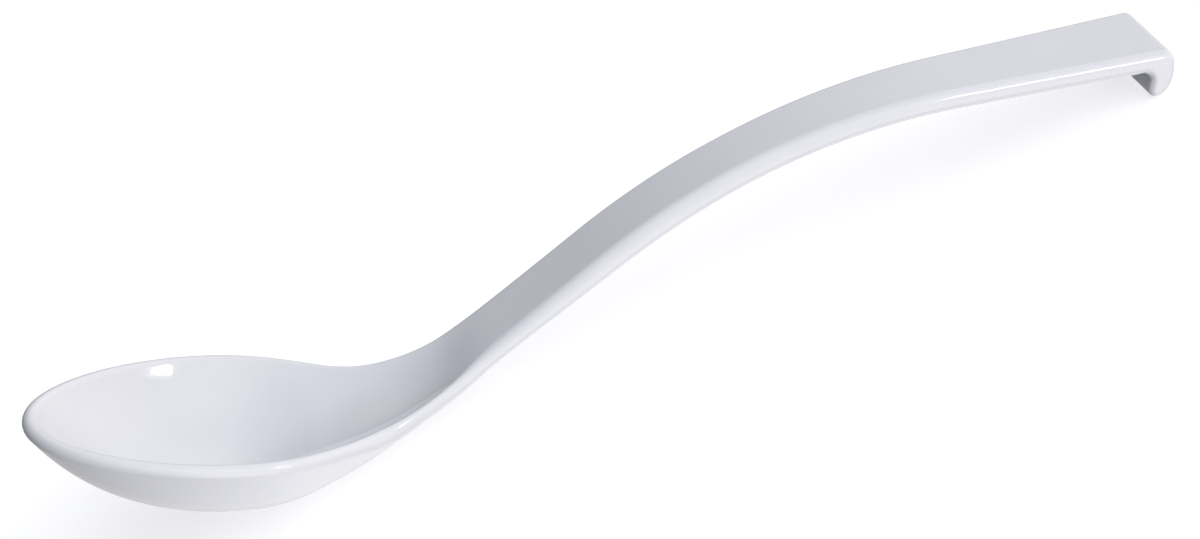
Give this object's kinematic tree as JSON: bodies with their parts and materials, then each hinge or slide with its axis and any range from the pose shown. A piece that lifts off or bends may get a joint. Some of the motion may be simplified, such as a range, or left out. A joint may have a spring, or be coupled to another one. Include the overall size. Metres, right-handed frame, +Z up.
{
  "type": "serving spoon",
  "caption": "Glossy white serving spoon with a deep egg-shaped bowl, an S-curved strap handle that widens to its straight end, and a short hook that hangs over a dish rim.",
  "frame": {"origin": "middle of the footprint of the spoon as it lies on a table, on the table plane that the bowl's underside and the hook's tip touch", "axes": "+X from the bowl to the hook along the spoon, +Y across the spoon, +Z up from the table"},
  "size_m": [0.2986, 0.066, 0.0468],
  "materials": {
    "melamine": "glossy white compression-moulded melamine"
  },
  "bodies": {
    "root": {"bowl": "melamine", "neck": "melamine", "handle": "melamine", "handle_end": "melamine", "hook": "melamine"}
  },
  "joints": []
}
